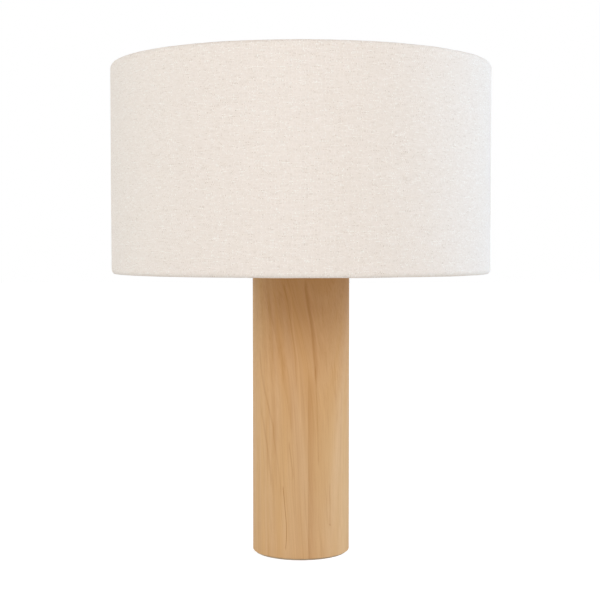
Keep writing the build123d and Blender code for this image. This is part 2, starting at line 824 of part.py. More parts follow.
with BuildPart() as bulb_housing:
    housing_foot = bulb_cap_radius + bulb_housing_overhang
    neck_outside = cap_inside - 2 * fit_gap
    neck_inside = neck_outside - bulb_wall
    neck_bottom = (insulator_top + cap_rim) / 2
    flare_bottom = cap_rim + bulb_wall
    with BuildSketch(Plane.XZ):
        with BuildLine():
            Polyline(
                (neck_inside, neck_bottom),
                (neck_outside, neck_bottom),
                (neck_outside, cap_rim),
                (housing_foot, cap_rim),
                *flare_outline(housing_foot, housing_radius, flare_steps),
                *reversed(
                    flare_outline(neck_inside, housing_radius - bulb_wall, flare_inner_steps)
                ),
                close=True,
            )
        make_face()
    revolve(axis=Axis.Z)
bulb_housing.part.label = "bulb_housing"
export_step(bulb_housing.part, "parts/bulb_housing.step")

with BuildPart() as bulb_led_plate:
    with BuildSketch(Plane.XY.offset(housing_top - led_plate_thickness)):
        Circle(housing_radius - 2 * bulb_wall - led_plate_inset)
    extrude(amount=led_plate_thickness)
bulb_led_plate.part.label = "bulb_led_plate"
export_step(bulb_led_plate.part, "parts/bulb_led_plate.step")

with BuildPart() as bulb_dome:
    with BuildSketch(Plane.XZ):
        with BuildLine():
            Polyline(
                *globe_outline(bulb_radius, globe_steps),
                *reversed(globe_outline(bulb_radius - bulb_wall, globe_inner_steps)),
                close=True,
            )
        make_face()
    revolve(axis=Axis.Z)
bulb_dome.part.label = "bulb_dome"
export_step(bulb_dome.part, "parts/bulb_dome.step")
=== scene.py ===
import json
import math

import bmesh
import bpy
from mathutils import Matrix, Vector, noise


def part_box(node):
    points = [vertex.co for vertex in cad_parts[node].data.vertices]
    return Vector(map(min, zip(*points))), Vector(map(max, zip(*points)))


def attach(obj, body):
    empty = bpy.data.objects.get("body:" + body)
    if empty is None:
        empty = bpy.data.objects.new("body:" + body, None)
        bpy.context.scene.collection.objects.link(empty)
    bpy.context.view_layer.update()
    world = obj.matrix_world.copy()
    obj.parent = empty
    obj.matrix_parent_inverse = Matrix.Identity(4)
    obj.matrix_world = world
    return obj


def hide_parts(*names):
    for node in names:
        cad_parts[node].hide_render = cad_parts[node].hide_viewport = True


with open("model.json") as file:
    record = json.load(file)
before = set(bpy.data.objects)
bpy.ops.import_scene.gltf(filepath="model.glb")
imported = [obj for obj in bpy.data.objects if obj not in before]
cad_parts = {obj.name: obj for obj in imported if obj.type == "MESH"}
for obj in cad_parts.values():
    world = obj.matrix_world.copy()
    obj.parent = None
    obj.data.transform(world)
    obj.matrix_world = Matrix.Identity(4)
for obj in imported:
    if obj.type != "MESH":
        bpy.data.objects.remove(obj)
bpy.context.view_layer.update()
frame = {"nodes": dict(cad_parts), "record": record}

# Lengths are in millimetres up to the point where a mesh, lamp or camera is made.
MM = 0.001
TURNS = 96  # steps round a small turned piece
FINE_TURNS = 256  # steps round the column, the shade's wires and its lining
SHARP_FOLD = math.radians(40)  # a fold past this keeps its hard edge in the shading


def low(node):
    """A CAD node's lowest corner, in millimetres."""
    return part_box(node)[0] / MM


def high(node):
    """A CAD node's highest corner, in millimetres."""
    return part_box(node)[1] / MM


# ---------------------------------------------------------------- sizes taken from the frame
shade_radius = high("shade_fabric").x
shade_bottom = low("shade_fabric").z
shade_top = high("shade_fabric").z
column_radius = high("column").x
column_bottom = low("column").z
column_top = high("column").z


# ---------------------------------------------------------------- shapes
def smoothstep(start, end, value):
    """0 before start, 1 past end, and a smooth rise between them. end may be the smaller."""
    share = min(max((value - start) / (end - start), 0.0), 1.0)
    return share * share * (3 - 2 * share)


def arc(centre, radii, start, end, steps):
    """Points of an ellipse's arc, between two angles in degrees."""
    points = []
    for step in range(steps + 1):
        angle = math.radians(start + (end - start) * step / steps)
        x = centre[0] + radii[0] * math.cos(angle)
        points.append((x, centre[1] + radii[1] * math.sin(angle)))
    return points


def line(start, end, steps):
    """Points along a straight line, without its two ends."""
    start, end = Vector(start), Vector(end)
    return [tuple(start.lerp(end, step / steps)) for step in range(1, steps)]


def eased(outline, radius, steps=3):
    """The closed outline with its corners rounded by this radius, or less beside a short edge."""
    most = 0.45  # the share of an edge that one corner may take
    result = []
    for index, corner in enumerate(outline):
        corner = Vector(corner)
        back = Vector(outline[index - 1]) - corner
        ahead = Vector(outline[(index + 1) % len(outline)]) - corner
        cut = min(radius, most * back.length, most * ahead.length)
        start = corner + cut * back.normalized()
        end = corner + cut * ahead.normalized()
        for step in range(steps + 1):
            share = step / steps
            first, second = start.lerp(corner, share), corner.lerp(end, share)
            result.append(tuple(first.lerp(second, share)))
    return result


def finished(name, shell):
    """A new object from a bmesh in millimetres, with outward faces and smooth shading."""
    bmesh.ops.recalc_face_normals(shell, faces=shell.faces)
    bmesh.ops.scale(shell, vec=(MM, MM, MM), verts=shell.verts)
    mesh = bpy.data.meshes.new(name)
    shell.to_mesh(mesh)
    shell.free()
    mesh.shade_smooth()
    mesh.set_sharp_from_angle(angle=SHARP_FOLD)
    piece = bpy.data.objects.new(name, mesh)
    bpy.context.scene.collection.objects.link(piece)
    shading = piece.modifiers.new("shading", "WEIGHTED_NORMAL")
    shading.keep_sharp = True
    return piece


def turned(name, outline, turns=TURNS, shape=None, angles=None):
    """A piece turned about Z from an outline of (radius, height) points. An outline that starts
    and ends on the axis makes a solid, and any other is closed into a ring. shape moves a point:
    shape(angle, radius, height) gives its new radius and height."""
    if angles is None:
        angles = [2 * math.pi * turn / turns for turn in range(turns)]
    on_axis = outline[0][0] == 0 and outline[-1][0] == 0
    rows = outline[1:-1] if on_axis else outline
    shell = bmesh.new()
    grid = []
    for angle in angles:
        row = []
        for radius, height in rows:
            if shape:
                radius, height = shape(angle, radius, height)
            x, y = radius * math.cos(angle), radius * math.sin(angle)
            row.append(shell.verts.new((x, y, height)))
        grid.append(row)
    first = 0
    if on_axis:
        bottom, top = (shell.verts.new((0, 0, outline[end][1])) for end in (0, -1))
        first = 1
        for turn in range(len(grid)):
            here, there = grid[turn - 1], grid[turn]
            shell.faces.new((bottom, here[0], there[0]))
            shell.faces.new((here[-1], top, there[-1]))
    for turn in range(len(grid)):
        here, there = grid[turn - 1], grid[turn]
        for index in range(first, len(rows)):
            shell.faces.new((here[index - 1], here[index], there[index], there[index - 1]))
    return finished(name, shell)


def thread(pitch, depth, start, end, runout=1.0, sharpness=1.0):
    """A shape for turned(): a screw thread cut inwards by this depth between two heights. It
    fades over runout at both ends, and a sharpness over 1 flattens its crests and roots."""

    def shape(angle, radius, height):
        wave = sharpness * math.cos(2 * math.pi * height / pitch - angle)
        cut = 0.5 - 0.5 * max(min(wave, 1.0), -1.0)
        fade = smoothstep(start, start + runout, height) * smoothstep(end, end - runout, height)
        return radius - depth * cut * fade, height

    return shape


def softened(node, width):
    """A copy of a CAD node's mesh with its sharp edges rounded by this width, in its place."""
    joined, flat, sharp = 0.002 * MM, math.radians(0.5), math.radians(35)
    shell = bmesh.new()
    shell.from_mesh(frame["nodes"][node].data)
    bmesh.ops.remove_doubles(shell, verts=shell.verts, dist=joined)
    bmesh.ops.dissolve_limit(shell, angle_limit=flat, verts=shell.verts, edges=shell.edges)
    bmesh.ops.scale(shell, vec=(1 / MM, 1 / MM, 1 / MM), verts=shell.verts)
    piece = finished(node + "_eased", shell)
    rounding = piece.modifiers.new("rounding", "BEVEL")
    rounding.width = width * MM
    rounding.segments = 2
    rounding.limit_method = "ANGLE"
    rounding.angle_limit = sharp
    piece.modifiers.move(1, 0)  # the rounding comes before the shading
    return piece


def placed(piece, body, slot, finish, *nodes):
    """Gives a new piece its material and its body, and hides the CAD nodes that it stands for. The
    slot is not used.
    """
    piece.data.materials.clear()
    piece.data.materials.append(finish)
    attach(piece, body)
    if nodes:
        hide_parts(*nodes)


# ---------------------------------------------------------------- materials
def linear(red, green, blue):
    """A colour written as it looks on a screen, 0 to 255, as the linear colour of a node."""
    steps = [value / 255 for value in (red, green, blue)]
    return (*[((value + 0.055) / 1.055) ** 2.4 for value in steps], 1.0)


class Finish:
    """A material under construction, with short calls for the nodes that the finishes share.
    Lengths in it are millimetres, because place is the object's own coordinates in them."""

    def __init__(self, name, roughness=0.5, metallic=0.0, specular=0.5):
        self.material = bpy.data.materials.new(name)
        self.material.use_nodes = True
        self.tree = self.material.node_tree
        self.tree.nodes.clear()
        self.shader = self.add("ShaderNodeBsdfPrincipled")
        self.shader.inputs["Roughness"].default_value = roughness
        self.shader.inputs["Metallic"].default_value = metallic
        self.shader.inputs["Specular IOR Level"].default_value = specular
        output = self.add("ShaderNodeOutputMaterial")
        self.put(output.inputs["Surface"], self.shader.outputs["BSDF"])
        place = self.add("ShaderNodeTexCoord").outputs["Object"]
        self.place = self.scaled(place, (1 / MM, 1 / MM, 1 / MM))
        split = self.add("ShaderNodeSeparateXYZ")
        self.put(split.inputs[0], self.place)
        self.x, self.y, self.z = split.outputs

    def add(self, kind, **settings):
        node = self.tree.nodes.new(kind)
        for key, value in settings.items():
            setattr(node, key, value)
        return node

    def put(self, socket, value):
        if isinstance(value, bpy.types.NodeSocket):
            self.tree.links.new(value, socket)
        else:
            socket.default_value = value

    def math(self, operation, *values):
        node = self.add("ShaderNodeMath", operation=operation)
        for socket, value in zip(node.inputs, values):
            self.put(socket, value)
        return node.outputs[0]

    def plus(self, *values):
        total = values[0]
        for value in values[1:]:
            total = self.math("ADD", total, value)
        return total

    def times(self, *values):
        total = values[0]
        for value in values[1:]:
            total = self.math("MULTIPLY", total, value)
        return total

    def between(self, share, first, second):
        """A number that goes from first to second as the share goes from 0 to 1."""
        return self.plus(first, self.times(share, self.math("SUBTRACT", second, first)))

    def scaled(self, vector, scale):
        node = self.add("ShaderNodeVectorMath", operation="MULTIPLY")
        self.put(node.inputs[0], vector)
        self.put(node.inputs[1], scale)
        return node.outputs[0]

    def point(self, x, y, z=0.0):
        node = self.add("ShaderNodeCombineXYZ")
        for socket, value in zip(node.inputs, (x, y, z)):
            self.put(socket, value)
        return node.outputs[0]

    def noise(self, vector, size, detail=2.0, roughness=0.5):
        """Noise from 0 to 1 whose lumps are about this many millimetres across."""
        node = self.add("ShaderNodeTexNoise", normalize=True)
        self.put(node.inputs["Vector"], vector)
        self.put(node.inputs["Scale"], 1 / size)
        self.put(node.inputs["Detail"], detail)
        self.put(node.inputs["Roughness"], roughness)
        return node.outputs[0]

    def rise(self, value, start, end, first=0.0, last=1.0):
        """A smooth rise from first to last as the value goes from start to end."""
        node = self.add("ShaderNodeMapRange", interpolation_type="SMOOTHSTEP")
        for socket, number in zip(node.inputs, (value, start, end, first, last)):
            self.put(socket, number)
        return node.outputs[0]

    def mix(self, share, first, second):
        node = self.add("ShaderNodeMix", data_type="RGBA")
        for index, value in ((0, share), (6, first), (7, second)):
            self.put(node.inputs[index], value)
        return node.outputs[2]

    def shaded(self, colour, share):
        """The colour multiplied by a number."""
        node = self.add("ShaderNodeVectorMath", operation="SCALE")
        self.put(node.inputs[0], colour)
        self.put(node.inputs["Scale"], share)
        return node.outputs[0]

    def colour(self, value):
        self.put(self.shader.inputs["Base Color"], value)

    def rough(self, value):
        self.put(self.shader.inputs["Roughness"], value)

    def bump(self, height, depth, strength=1.0):
        """Relief of this depth in millimetres where the height goes from 0 to 1."""
        node = self.add("ShaderNodeBump")
        self.put(node.inputs["Height"], height)
        self.put(node.inputs["Distance"], depth * MM)
        self.put(node.inputs["Strength"], strength)
        self.put(self.shader.inputs["Normal"], node.outputs[0])


def linen():
    """Coarse plain-woven linen: round yarns over and under each other, each as uneven as
    hand-spun ones are, with pale slubs and a few dark flecks. It runs round the shade's axis and
    along it."""
    warp_pitch, weft_pitch = 1.05, 0.92
    warp_length, weft_length = 1.6, 5.5  # how far along a yarn its tone holds
    wander_size, wander_reach = 22.0, 2.0
    yarn_step = 37.3  # how far apart two neighbours' noise is read, so that they don't match
    yarn_turn, yarn_spread = 0.618, 9.0  # the same, in the other direction
    thin_yarn, full_yarn = linear(239, 227, 215), linear(247, 236, 226)
    slub_yarn, worn_yarn = linear(255, 249, 240), linear(212, 196, 181)
    straw = linear(146, 124, 101)
    finish = Finish("linen", roughness=0.9, specular=0.12)
    finish.shader.inputs["Sheen Weight"].default_value = 0.08
    finish.shader.inputs["Sheen Roughness"].default_value = 0.5
    drift = finish.math("SUBTRACT", finish.noise(finish.place, wander_size), 0.5)
    wander = finish.times(drift, wander_reach)
    turn = finish.math("ARCTAN2", finish.x, finish.times(finish.y, -1.0))
    around = finish.plus(finish.times(turn, shade_radius), wander)
    upward = finish.plus(finish.z, wander)
    warp = finish.math("DIVIDE", around, warp_pitch)
    weft = finish.math("DIVIDE", upward, weft_pitch)
    warp_index = finish.math("FLOOR", warp)
    weft_index = finish.math("FLOOR", weft)

    def yarn(across, own_index, along, phase):
        """Height of one set of yarns: round across each yarn, which rises over every other yarn
        of the other set."""
        roundness = finish.math("ABSOLUTE", finish.math("SINE", finish.times(across, math.pi)))
        way = finish.times(finish.plus(own_index, along, phase - 0.5), math.pi)
        over = finish.math("MULTIPLY_ADD", finish.math("COSINE", way), 0.5, 0.5)
        return finish.times(roundness, over)

    def tone(along, index, seed, length):
        """How full and pale a yarn is along its length."""
        spread = finish.times(finish.math("FRACT", finish.times(index, yarn_turn)), yarn_spread)
        where = finish.point(along, finish.times(index, yarn_step), finish.plus(spread, seed))
        return finish.noise(where, length, detail=1.0)

    warp_height = yarn(warp, warp_index, weft, 0.0)
    weft_height = yarn(weft, weft_index, warp, 1.0)
    warp_tone = tone(upward, warp_index, 0.0, warp_length)
    weft_tone = tone(around, weft_index, 50.0, weft_length)
    warp_shows = finish.math("GREATER_THAN", warp_height, weft_height)
    full = finish.between(warp_shows, weft_tone, warp_tone)
    height = finish.math("MAXIMUM", warp_height, weft_height)
    slub = finish.rise(full, 0.62, 0.72)
    worn = finish.rise(full, 0.36, 0.25)
    specks = finish.noise(finish.scaled(finish.place, (1.0, 1.0, 1.3)), 1.1, detail=0.0)
    patches = finish.noise(finish.place, 13.0)
    fleck = finish.times(finish.rise(specks, 0.81, 0.87), finish.rise(patches, 0.45, 0.6))
    cloth = finish.mix(finish.rise(full, 0.3, 0.7), thin_yarn, full_yarn)
    cloth = finish.mix(slub, cloth, slub_yarn)
    cloth = finish.mix(finish.times(worn, 0.55), cloth, worn_yarn)
    # painted shade down between the yarns and a slight painted highlight on their crowns, on top
    # of the bump
    cloth = finish.shaded(cloth, finish.rise(height, 0.1, 0.9, 0.83, 1.03))
    finish.colour(finish.mix(finish.times(fleck, 0.7), cloth, straw))
    finish.bump(finish.plus(height, finish.times(slub, 0.7)), 0.25, 0.8)
    return finish.material


def wood():
    """Light softwood seen all through, so that its layers meet round the edges: uneven growth
    layers about a pith well behind the column, fine fibres, and the streaks that the front has.
    Towards the top, under the shade's rim, painted shade makes it darker and warmer, less so on
    the left side, where light reaches under the rim."""
    pith_x, pith_y = -75.0, 185.0
    straight_above = 120.0  # height over which the layers lean to the left
    lean = 0.00103
    slant = 0.05
    wander_size, wander_stretch, wander_reach = 34.0, 0.2, 9.0
    dull, warm, dark = linear(212, 174, 131), linear(209, 168, 119), linear(174, 122, 68)
    # painted shade: the tint that darkens and warms the column's top under the shade, and the
    # height below which it fades out
    painted_shade_tint = (0.885, 0.765, 0.65)
    painted_shade_lowest = 70.0
    finish = Finish("wood", roughness=0.5, specular=0.15)
    x, y, z = finish.x, finish.y, finish.z
    stretched = finish.scaled(finish.place, (1.0, 1.0, wander_stretch))
    drift = finish.math("SUBTRACT", finish.noise(stretched, wander_size), 0.5)
    wander = finish.times(drift, wander_reach)
    climb = finish.math("MAXIMUM", finish.math("SUBTRACT", z, straight_above), 0.0)
    leaned = finish.plus(x, finish.times(climb, climb, lean), finish.times(z, slant), wander)
    aside = finish.math("SUBTRACT", leaned, pith_x)
    behind = finish.math("SUBTRACT", y, pith_y)
    length = finish.add("ShaderNodeVectorMath", operation="LENGTH")
    finish.put(length.inputs[0], finish.point(aside, behind))
    distance = length.outputs["Value"]

    def layers_of(climb_share, seed, size, detail):
        """Noise that changes with the distance from the pith, and slowly up the column."""
        where = finish.point(distance, finish.times(z, climb_share), seed)
        return finish.noise(where, size, detail=detail)

    def fibres_of(climb_share, size, detail):
        """Noise that runs up the column in threads."""
        where = finish.point(leaned, y, finish.times(z, climb_share))
        return finish.noise(where, size, detail=detail)

    broad = layers_of(0.0, 0.0, 8.0, 1.0)
    layers = layers_of(0.02, 30.0, 2.6, 2.0)
    tint = layers_of(0.03, 70.0, 5.0, 1.0)
    fibres = fibres_of(0.02, 0.8, 3.0)
    pores = fibres_of(0.08, 0.3, 1.0)
    rays = fibres_of(0.012, 2.2, 1.0)

    def streak(points, left, right, strength, fade=12.0):
        """A dark streak on the front, or a pale one where the strength is below 0. It goes
        through (x, height) points from its top down, softens over these widths to its left and
        right, and fades beyond its ends."""
        top, bottom = points[0][1], points[-1][1]
        leftmost = min(point[0] for point in points)
        span = max(point[0] for point in points) - leftmost + 1.0
        route = finish.add("ShaderNodeFloatCurve")
        curve = route.mapping.curves[0]
        places = [((h - bottom) / (top - bottom), (x_mm - leftmost) / span) for x_mm, h in points]
        curve.points[0].location = places[-1]
        curve.points[1].location = places[0]
        for place in places[1:-1]:
            curve.points.new(*place)
        route.mapping.update()
        share = finish.add("ShaderNodeMapRange")
        for socket, number in zip(share.inputs, (z, bottom, top, 0.0, 1.0)):
            finish.put(socket, number)
        finish.put(route.inputs["Value"], share.outputs[0])
        centre = finish.math("MULTIPLY_ADD", route.outputs[0], span, leftmost)
        off = finish.math("SUBTRACT", x, centre)
        across = finish.times(finish.rise(off, -left, 0.0), finish.rise(off, right, 0.0))
        lower_end = finish.rise(z, bottom - fade, bottom)
        ends = finish.times(lower_end, finish.rise(z, top + fade, top))
        return finish.times(across, ends, strength)

    figure = finish.plus(
        # the long dark streak right of the middle, and its thin lower part
        streak([(4.0, 246), (6.7, 229), (9.4, 213), (10.9, 196), (13.0, 172)], 1.6, 3.4, 0.4, 18),
        streak([(13.0, 172), (14.0, 150), (15.0, 122), (15.7, 93)], 0.8, 1.3, 0.26, 8.0),
        # a thin dark line at the upper left, and a pale one beside it
        streak(
            [(-14.8, 246), (-11.2, 229), (-8.5, 209), (-5.8, 190), (-4.4, 165)], 0.7, 1.1, 0.22
        ),
        streak([(-8.9, 237), (-6.7, 209), (-3.1, 184), (-1.3, 155), (-0.6, 130)], 0.9, 1.2, -0.22),
        # the slanted streak at the upper left, and what carries it on
        streak([(-33.7, 246), (-27.5, 222), (-21.5, 198), (-17.5, 178)], 1.0, 6.0, 0.15, 20.0),
        streak([(-17.5, 178), (-14.8, 158), (-11.2, 139), (-9.4, 124)], 0.7, 3.0, 0.15, 10.0),
        streak([(-10.6, 104), (-8.7, 90), (-7.4, 79)], 0.6, 1.0, 0.34, 7.0),
        # slanted streaks further to the left and further down
        streak([(-37.6, 182), (-34.6, 159), (-31.0, 144), (-25.6, 121)], 0.7, 2.2, 0.24),
        streak([(-36.0, 131), (-32.6, 112), (-29.6, 92), (-27.8, 74)], 0.8, 2.0, 0.24),
        streak([(-25.0, 112), (-21.4, 88), (-18.7, 66)], 0.7, 1.8, 0.18),
        # the fine crack near the foot
        streak([(-16.2, 65), (-14.5, 47), (-13.2, 26), (-13.9, 12)], 0.45, 0.55, 0.95, 4.0),
        # the broad band with a hard left edge, and the pale side right of it
        streak([(6.4, 150), (6.5, 75), (6.6, -20)], 0.3, 9.5, 0.30, 30.0),
        streak([(34.0, 110), (34.0, -20)], 16.0, 14.0, -0.12, 60.0),
        # two short lines at the right, the lower of which ends in a small knot
        streak([(30.6, 176), (31.6, 150)], 0.5, 0.9, 0.26),
        streak([(26.2, 66), (26.4, 34)], 0.5, 0.8, 0.26, 5.0),
        streak([(26.3, 31.5), (26.6, 31.0)], 1.1, 1.1, 0.40, 1.2),
    )
    on_front = finish.rise(y, -5.0, -22.0)
    grain = finish.plus(
        finish.times(finish.rise(broad, 0.3, 0.7), 0.11),
        finish.times(finish.rise(layers, 0.45, 0.75), 0.10),
        finish.times(finish.rise(fibres, 0.35, 0.7), 0.12),
        finish.times(finish.rise(pores, 0.62, 0.75), 0.12),
        finish.times(finish.rise(rays, 0.60, 0.68), 0.12),
        finish.times(finish.rise(rays, 0.40, 0.33), -0.08),
        finish.times(figure, on_front),
    )
    pale = finish.mix(finish.rise(tint, 0.3, 0.7), dull, warm)
    share = finish.math("MAXIMUM", finish.math("MINIMUM", grain, 1.0), 0.0)
    grained = finish.mix(share, pale, dark)
    # painted shade under the shade's rim: it fades in from its lowest height up to the column's
    # top, and is weaker on the left side, where light reaches under the rim
    less_painted_shade_left = finish.rise(x, -46.0, -22.0, 0.35, 1.0)
    painted_shade_share = finish.times(finish.rise(z, painted_shade_lowest, column_top), less_painted_shade_left)
    finish.colour(finish.mix(painted_shade_share, grained, finish.scaled(grained, painted_shade_tint)))
    finish.rough(finish.rise(fibres, 0.3, 0.7, 0.44, 0.58))
    finish.bump(finish.plus(finish.times(pores, -0.6), finish.times(fibres, -0.5)), 0.05, 0.5)
    return finish.material


def felt():
    """Pressed wool felt: short fibres lying every way."""
    finish = Finish("felt", roughness=1.0, specular=0.1)
    finish.shader.inputs["Sheen Weight"].default_value = 0.3
    fibres = finish.noise(finish.place, 0.5, detail=4.0, roughness=0.7)
    tufts = finish.noise(finish.place, 3.0, detail=2.0)
    share = finish.plus(finish.times(fibres, 0.7), finish.times(tufts, 0.3))
    finish.colour(finish.mix(share, linear(168, 148, 122), linear(214, 198, 172)))
    finish.bump(fibres, 0.3)
    return finish.material


def board():
    """Bare hardboard: brown, with short pale chips of fibre."""
    finish = Finish("board", roughness=0.85, specular=0.2)
    chips = finish.noise(finish.scaled(finish.place, (1.0, 0.6, 1.0)), 1.2, detail=4.0)
    share = finish.rise(chips, 0.35, 0.7)
    finish.colour(finish.mix(share, linear(112, 80, 54), linear(176, 139, 100)))
    finish.bump(chips, 0.15)
    return finish.material


def metal(name, dark, bright, roughness, brushed=(1.0, 1.0, 1.0), grain=0.8):
    """A metal whose tone and gloss vary a little, along brush marks or casting grains."""
    finish = Finish(name, roughness=roughness, metallic=1.0)
    marks = finish.noise(finish.scaled(finish.place, brushed), grain, detail=3.0)
    clouds = finish.noise(finish.place, 9.0, detail=2.0)
    share = finish.plus(finish.times(marks, 0.6), finish.times(clouds, 0.4))
    finish.colour(finish.mix(finish.rise(share, 0.3, 0.7), dark, bright))
    finish.rough(finish.rise(share, 0.3, 0.7, roughness + 0.1, roughness - 0.07))
    finish.bump(marks, 0.02)
    return finish.material


def moulded(name, dark, bright, roughness, texture=0.35, relief=0.02, coat=0.0):
    """Moulded plastic or paint: a very fine texture, and a little dust in the gloss."""
    finish = Finish(name, roughness=roughness)
    finish.shader.inputs["Coat Weight"].default_value = coat
    skin = finish.noise(finish.place, texture, detail=2.0)
    clouds = finish.noise(finish.place, 14.0, detail=3.0)
    finish.colour(finish.mix(clouds, dark, bright))
    finish.rough(finish.rise(clouds, 0.3, 0.7, roughness - 0.05, roughness + 0.08))
    finish.bump(skin, relief)
    return finish.material


finishes = {
    "felt": felt(),
    "board": board(),
    "steel": metal("steel", linear(150, 151, 150), linear(206, 206, 202), 0.36),
    "wood": wood(),
    "iron": metal("iron", linear(52, 52, 52), linear(92, 90, 88), 0.62, grain=1.6),
    "brass": metal("brass", linear(176, 138, 74), linear(222, 188, 118), 0.3, (1.0, 1.0, 4.0)),
    "phenolic": moulded("phenolic", linear(24, 23, 22), linear(38, 36, 34), 0.3, 0.5, 0.015, 0.15),
    "white_wire": moulded(
        "white_wire", linear(226, 225, 220), linear(238, 237, 232), 0.42, 0.3, 0.04
    ),
    "liner": moulded("liner", linear(240, 228, 208), linear(246, 236, 218), 0.5, 0.8, 0.02),
    "linen": linen(),
    "bulb_metal": metal("bulb_metal", linear(196, 197, 198), linear(232, 232, 230), 0.24),
    "bulb_plastic": moulded("bulb_plastic", linear(234, 234, 232), linear(242, 242, 240), 0.34),
    "opal": moulded("opal", linear(243, 243, 240), linear(249, 249, 247), 0.36, 1.2, 0.002),
}

slot_of = {}
for node_name, node in frame["nodes"].items():
    slot_of[node_name] = node.material_slots[0].material.name.split(".")[0]
    node.material_slots[0].material = finishes[slot_of[node_name]]


# ---------------------------------------------------------------- the foot and the column
def make_felt():
    """The felt disc under the foot, with a rounded and slightly frayed rim."""
    radius = high("felt_pad").x
    thickness = high("felt_pad").z
    rim = 0.5
    fray, fray_waves = 0.25, 9
    outline = [(0, 0), *arc((radius - rim, rim), (rim, rim), -90, 0, 3)]
    outline += [*arc((radius - rim, thickness - rim), (rim, rim), 0, 90, 3), (0, thickness)]

    def frayed(angle, r, height):
        place = Vector((fray_waves * math.cos(angle), fray_waves * math.sin(angle), height))
        return (r + fray * noise.noise(place) if r > radius - 2 * rim else r), height

    pad = turned("felt_sheet", outline, 2 * TURNS, frayed)
    placed(pad, "base", "felt", finishes["felt"], "felt_pad")


def drilled(body, radius, start, height):
    """Cuts a hole of this radius into a piece, along +Y from y = start, at this height."""
    length = 20
    cut = bmesh.new()
    bmesh.ops.create_cone(
        cut, cap_ends=True, segments=64, radius1=radius, radius2=radius, depth=length
    )
    bmesh.ops.rotate(cut, matrix=Matrix.Rotation(math.radians(90), 3, "X"), verts=cut.verts)
    bmesh.ops.translate(cut, vec=(0, start + length / 2, height), verts=cut.verts)
    drill = finished("drill", cut)
    hole = body.modifiers.new("hole", "BOOLEAN")
    hole.object = drill
    hole.solver = "EXACT"
    body.modifiers.move(len(body.modifiers) - 1, 0)
    bpy.context.view_layer.update()
    solid = body.evaluated_get(bpy.context.evaluated_depsgraph_get())
    body.data = bpy.data.meshes.new_from_object(solid)
    body.modifiers.clear()
    bpy.data.objects.remove(drill)


def make_column():
    """The turned column with its rounded edges, its hollow and the flex's way in."""
    bore, cavity, rebate = 5.4, 30.0, 41.0  # radii
    cavity_top = 44.0
    rebate_top = high("base_cover").z
    edge = 0.8
    outline = [
        (bore, column_top),
        (column_radius, column_top),
        (column_radius, column_bottom),
        (rebate, column_bottom),
        (rebate, rebate_top),
        (cavity, rebate_top),
        (cavity, cavity_top),
        (bore, cavity_top),
    ]
    body = turned("wood_column", eased(outline, edge, steps=4), FINE_TURNS)
    bush_low, bush_high = low("cord_bush"), high("cord_bush")
    height = (bush_low.z + bush_high.z) / 2
    flange, clearance = (bush_high.z - bush_low.z) / 2, 0.2
    seat = 42.8  # from the column's axis to the face that the bush's flange sits on
    passage, overlap = 5.6, 4
    drilled(body, flange + clearance, seat, height)
    drilled(body, passage, cavity - overlap, height)
    shell = bmesh.new()
    shell.from_mesh(body.data)
    sliver = 0.01 * MM  # the cuts leave points that are closer together than this
    bmesh.ops.remove_doubles(shell, verts=shell.verts, dist=sliver)
    bmesh.ops.dissolve_degenerate(shell, edges=shell.edges, dist=sliver)
    shell.to_mesh(body.data)
    shell.free()
    placed(body, "base", "wood", finishes["wood"], "column")


# ---------------------------------------------------------------- the shade
seam_half = 5.0  # half the width of the lapped seam at the rear
seam_ramp = 1.5  # how far the cloth slopes to either side of the lap's buried edge
seam_cut = 0.12  # the width of the step at the lap's open edge
hem_wire_inset = 3.1  # from the shade's outside to the middle of its wire
hem_wire_height = 2.4  # from the shade's edge to the middle of its wire
hem_round = 4.6  # height over which the outside rounds in to the edge
cloth = 0.8  # its thickness


def off_rear(angle, radius):
    """How far round from the middle of the rear an angle is, along a circle of this radius."""
    return ((angle - math.pi / 2 + math.pi) % (2 * math.pi) - math.pi) * radius


def hem(offset):
    """Half of the cloth's outline near an edge, as (inset, height) points: from the end that is
    tucked behind the wire, round the wire and up to the outside face. offset is 0 on the cloth's
    outer side and its thickness on its inner side."""
    wire = (hem_wire_inset, hem_wire_height)
    wrap = hem_wire_height - offset
    tail = 132 if offset == 0 else 160
    points = arc(wire, (wrap, wrap), tail, 0, 12)
    points += arc(wire, (wrap, wrap), 0, -90, 6)[1:]
    reach = (hem_wire_inset - offset, hem_round - offset)
    return points + arc((hem_wire_inset, hem_round), reach, 270, 180, 9)[1:]


def cloth_outline():
    """The whole sheet's closed outline as (radius, height) points, from its outer side at the
    lower edge up, over the upper edge and down its inner side."""
    height = shade_top - shade_bottom
    outside, inside = hem(0), hem(cloth)
    outside += line(outside[-1], (0, height - hem_round), 20)
    outside += [(inset, height - rise) for inset, rise in reversed(hem(0))]
    inside += line(inside[-1], (cloth, height - hem_round), 6)
    inside += [(inset, height - rise) for inset, rise in reversed(hem(cloth))]
    return [(shade_radius - inset, shade_bottom + rise) for inset, rise in outside + inside[::-1]]


